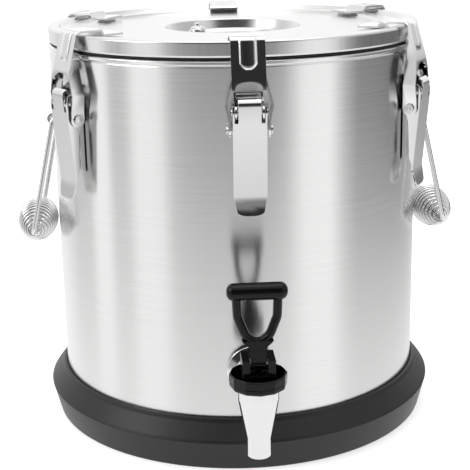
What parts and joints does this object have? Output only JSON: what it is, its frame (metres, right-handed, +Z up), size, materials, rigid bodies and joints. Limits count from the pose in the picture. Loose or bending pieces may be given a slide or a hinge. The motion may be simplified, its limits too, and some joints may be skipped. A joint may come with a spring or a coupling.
{
  "type": "insulated drinks barrel with tap",
  "caption": "Insulated stainless drinks barrel on a black foot, with a clamped lid, over-centre latches, spring-grip bail handles and a pull tap.",
  "frame": {"origin": "centre of the flat underside of the foot", "axes": "+Z up along the barrel axis, tap and front latch towards -Y, bail handles at +X and -X"},
  "size_m": [0.3688, 0.3898, 0.3286],
  "materials": {
    "brushed_body": "horizontal fine brushing, satin",
    "brushed_lid": "satin, circular brushing",
    "satin_inside": "satin",
    "latch_steel": "bright pressed stainless steel",
    "wire_steel": "bright drawn stainless wire",
    "pin_steel": "turned stainless steel",
    "chrome": "polished chrome plate",
    "black_gloss": "glossy moulded plastic",
    "foot_rubber": "satin moulded rubber",
    "seal_rubber": "matt",
    "silicone": "translucent-looking matt silicone",
    "foam": "matt polyurethane foam"
  },
  "bodies": {
    "barrel": {"outer_shell": "brushed_body", "inner_liner": "satin_inside", "foam_wall": "foam", "foam_base": "foam", "rubber_foot": "foot_rubber", "tap_body": "chrome", "tap_wall_flange": "chrome", "tap_outer_washer": "seal_rubber", "tap_inner_washer": "silicone", "tap_inner_nut": "pin_steel", "tap_collar": "black_gloss", "tap_handle_pin": "pin_steel", "bail_right_bracket_a": "wire_steel", "bail_right_bracket_b": "wire_steel", "bail_left_bracket_a": "wire_steel", "bail_left_bracket_b": "wire_steel", "latch_front_base": "latch_steel", "latch_front_pivot_pin": "pin_steel", "latch_front_right_base": "latch_steel", "latch_front_right_pivot_pin": "pin_steel", "latch_back_right_base": "latch_steel", "latch_back_right_pivot_pin": "pin_steel", "latch_back_base": "latch_steel", "latch_back_pivot_pin": "pin_steel", "latch_back_left_base": "latch_steel", "latch_back_left_pivot_pin": "pin_steel", "latch_front_left_base": "latch_steel", "latch_front_left_pivot_pin": "pin_steel"},
    "lid": {"lid_cover": "brushed_lid", "lid_pan": "satin_inside", "lid_foam": "foam", "lid_gasket": "seal_rubber", "vent_seat": "chrome"},
    "vent_cap": {"vent_cap": "chrome"},
    "latch_front_lever": {"latch_front_lever": "latch_steel", "latch_front_hook_pin": "pin_steel"},
    "latch_front_hook": {"latch_front_hook": "latch_steel"},
    "latch_front_right_lever": {"latch_front_right_lever": "latch_steel", "latch_front_right_hook_pin": "pin_steel"},
    "latch_front_right_hook": {"latch_front_right_hook": "latch_steel"},
    "latch_back_right_lever": {"latch_back_right_lever": "latch_steel", "latch_back_right_hook_pin": "pin_steel"},
    "latch_back_right_hook": {"latch_back_right_hook": "latch_steel"},
    "latch_back_lever": {"latch_back_lever": "latch_steel", "latch_back_hook_pin": "pin_steel"},
    "latch_back_hook": {"latch_back_hook": "latch_steel"},
    "latch_back_left_lever": {"latch_back_left_lever": "latch_steel", "latch_back_left_hook_pin": "pin_steel"},
    "latch_back_left_hook": {"latch_back_left_hook": "latch_steel"},
    "latch_front_left_lever": {"latch_front_left_lever": "latch_steel", "latch_front_left_hook_pin": "pin_steel"},
    "latch_front_left_hook": {"latch_front_left_hook": "latch_steel"},
    "bail_right": {"bail_right_rod": "wire_steel", "bail_right_grip": "wire_steel"},
    "bail_left": {"bail_left_rod": "wire_steel", "bail_left_grip": "wire_steel"},
    "tap_handle": {"tap_handle": "black_gloss"},
    "tap_stem": {"tap_stem": "pin_steel", "tap_seat": "silicone", "tap_spring": "pin_steel"}
  },
  "joints": [
    {"name": "lid_lift", "type": "slide", "parent": "barrel", "child": "lid", "axis": [0, 0, 1], "range_m": [0, 0.012]},
    {"name": "vent_lift", "type": "slide", "parent": "lid", "child": "vent_cap", "axis": [0, 0, 1], "range_m": [0, 0.003]},
    {"name": "latch_front_release", "type": "hinge", "parent": "barrel", "child": "latch_front_lever", "pos_m": [0, -0.16, 0.2765], "axis": [-1, 0, 0], "range_deg": [0, 50]},
    {"name": "latch_front_hook_swing", "type": "hinge", "parent": "latch_front_lever", "child": "latch_front_hook", "pos_m": [0, -0.157, 0.2635], "axis": [1, 0, 0], "range_deg": [0, 130]},
    {"name": "latch_front_right_release", "type": "hinge", "parent": "barrel", "child": "latch_front_right_lever", "pos_m": [0.13856, -0.08, 0.2765], "axis": [-0.5, -0.866, 0], "range_deg": [0, 50]},
    {"name": "latch_front_right_hook_swing", "type": "hinge", "parent": "latch_front_right_lever", "child": "latch_front_right_hook", "pos_m": [0.13597, -0.0785, 0.2635], "axis": [0.5, 0.866, 0], "range_deg": [0, 130]},
    {"name": "latch_back_right_release", "type": "hinge", "parent": "barrel", "child": "latch_back_right_lever", "pos_m": [0.13856, 0.08, 0.2765], "axis": [0.5, -0.866, 0], "range_deg": [0, 50]},
    {"name": "latch_back_right_hook_swing", "type": "hinge", "parent": "latch_back_right_lever", "child": "latch_back_right_hook", "pos_m": [0.13597, 0.0785, 0.2635], "axis": [-0.5, 0.866, 0], "range_deg": [0, 130]},
    {"name": "latch_back_release", "type": "hinge", "parent": "barrel", "child": "latch_back_lever", "pos_m": [0, 0.16, 0.2765], "axis": [1, 0, 0], "range_deg": [0, 50]},
    {"name": "latch_back_hook_swing", "type": "hinge", "parent": "latch_back_lever", "child": "latch_back_hook", "pos_m": [0, 0.157, 0.2635], "axis": [-1, 0, 0], "range_deg": [0, 130]},
    {"name": "latch_back_left_release", "type": "hinge", "parent": "barrel", "child": "latch_back_left_lever", "pos_m": [-0.13856, 0.08, 0.2765], "axis": [0.5, 0.866, 0], "range_deg": [0, 50]},
    {"name": "latch_back_left_hook_swing", "type": "hinge", "parent": "latch_back_left_lever", "child": "latch_back_left_hook", "pos_m": [-0.13597, 0.0785, 0.2635], "axis": [-0.5, -0.866, 0], "range_deg": [0, 130]},
    {"name": "latch_front_left_release", "type": "hinge", "parent": "barrel", "child": "latch_front_left_lever", "pos_m": [-0.13419, -0.08714, 0.2765], "axis": [-0.5446, 0.8387, 0], "range_deg": [0, 50]},
    {"name": "latch_front_left_hook_swing", "type": "hinge", "parent": "latch_front_left_lever", "child": "latch_front_left_hook", "pos_m": [-0.13167, -0.08551, 0.2635], "axis": [0.5446, -0.8387, 0], "range_deg": [0, 130]},
    {"name": "bail_right_swing", "type": "hinge", "parent": "barrel", "child": "bail_right", "pos_m": [0.147, 0, 0.256], "axis": [0, -1, 0], "range_deg": [0, 150]},
    {"name": "bail_left_swing", "type": "hinge", "parent": "barrel", "child": "bail_left", "pos_m": [-0.147, 0, 0.256], "axis": [0, 1, 0], "range_deg": [0, 150]},
    {"name": "tap_pull", "type": "hinge", "parent": "barrel", "child": "tap_handle", "pos_m": [0, -0.203, 0.1045], "axis": [1, 0, 0], "range_deg": [0, 35], "stiffness_Nm_per_rad": 0.12},
    {"name": "tap_stem_lift", "type": "slide", "parent": "barrel", "child": "tap_stem", "axis": [0, 0, 1], "range_m": [0, 0.003], "deforming": ["tap_spring"]}
  ],
  "couplings": [
    {"joint": "latch_front_release", "follows": "lid_lift", "rad_per_m": 72.708},
    {"joint": "latch_front_hook_swing", "follows": "lid_lift", "rad_per_m": 189.05},
    {"joint": "latch_front_right_release", "follows": "lid_lift", "rad_per_m": 72.708},
    {"joint": "latch_front_right_hook_swing", "follows": "lid_lift", "rad_per_m": 189.05},
    {"joint": "latch_back_right_release", "follows": "lid_lift", "rad_per_m": 72.708},
    {"joint": "latch_back_right_hook_swing", "follows": "lid_lift", "rad_per_m": 189.05},
    {"joint": "latch_back_release", "follows": "lid_lift", "rad_per_m": 72.708},
    {"joint": "latch_back_hook_swing", "follows": "lid_lift", "rad_per_m": 189.05},
    {"joint": "latch_back_left_release", "follows": "lid_lift", "rad_per_m": 72.708},
    {"joint": "latch_back_left_hook_swing", "follows": "lid_lift", "rad_per_m": 189.05},
    {"joint": "latch_front_left_release", "follows": "lid_lift", "rad_per_m": 72.708},
    {"joint": "latch_front_left_hook_swing", "follows": "lid_lift", "rad_per_m": 189.05},
    {"joint": "tap_stem_lift", "follows": "tap_pull", "m_per_rad": 0.004895}
  ]
}
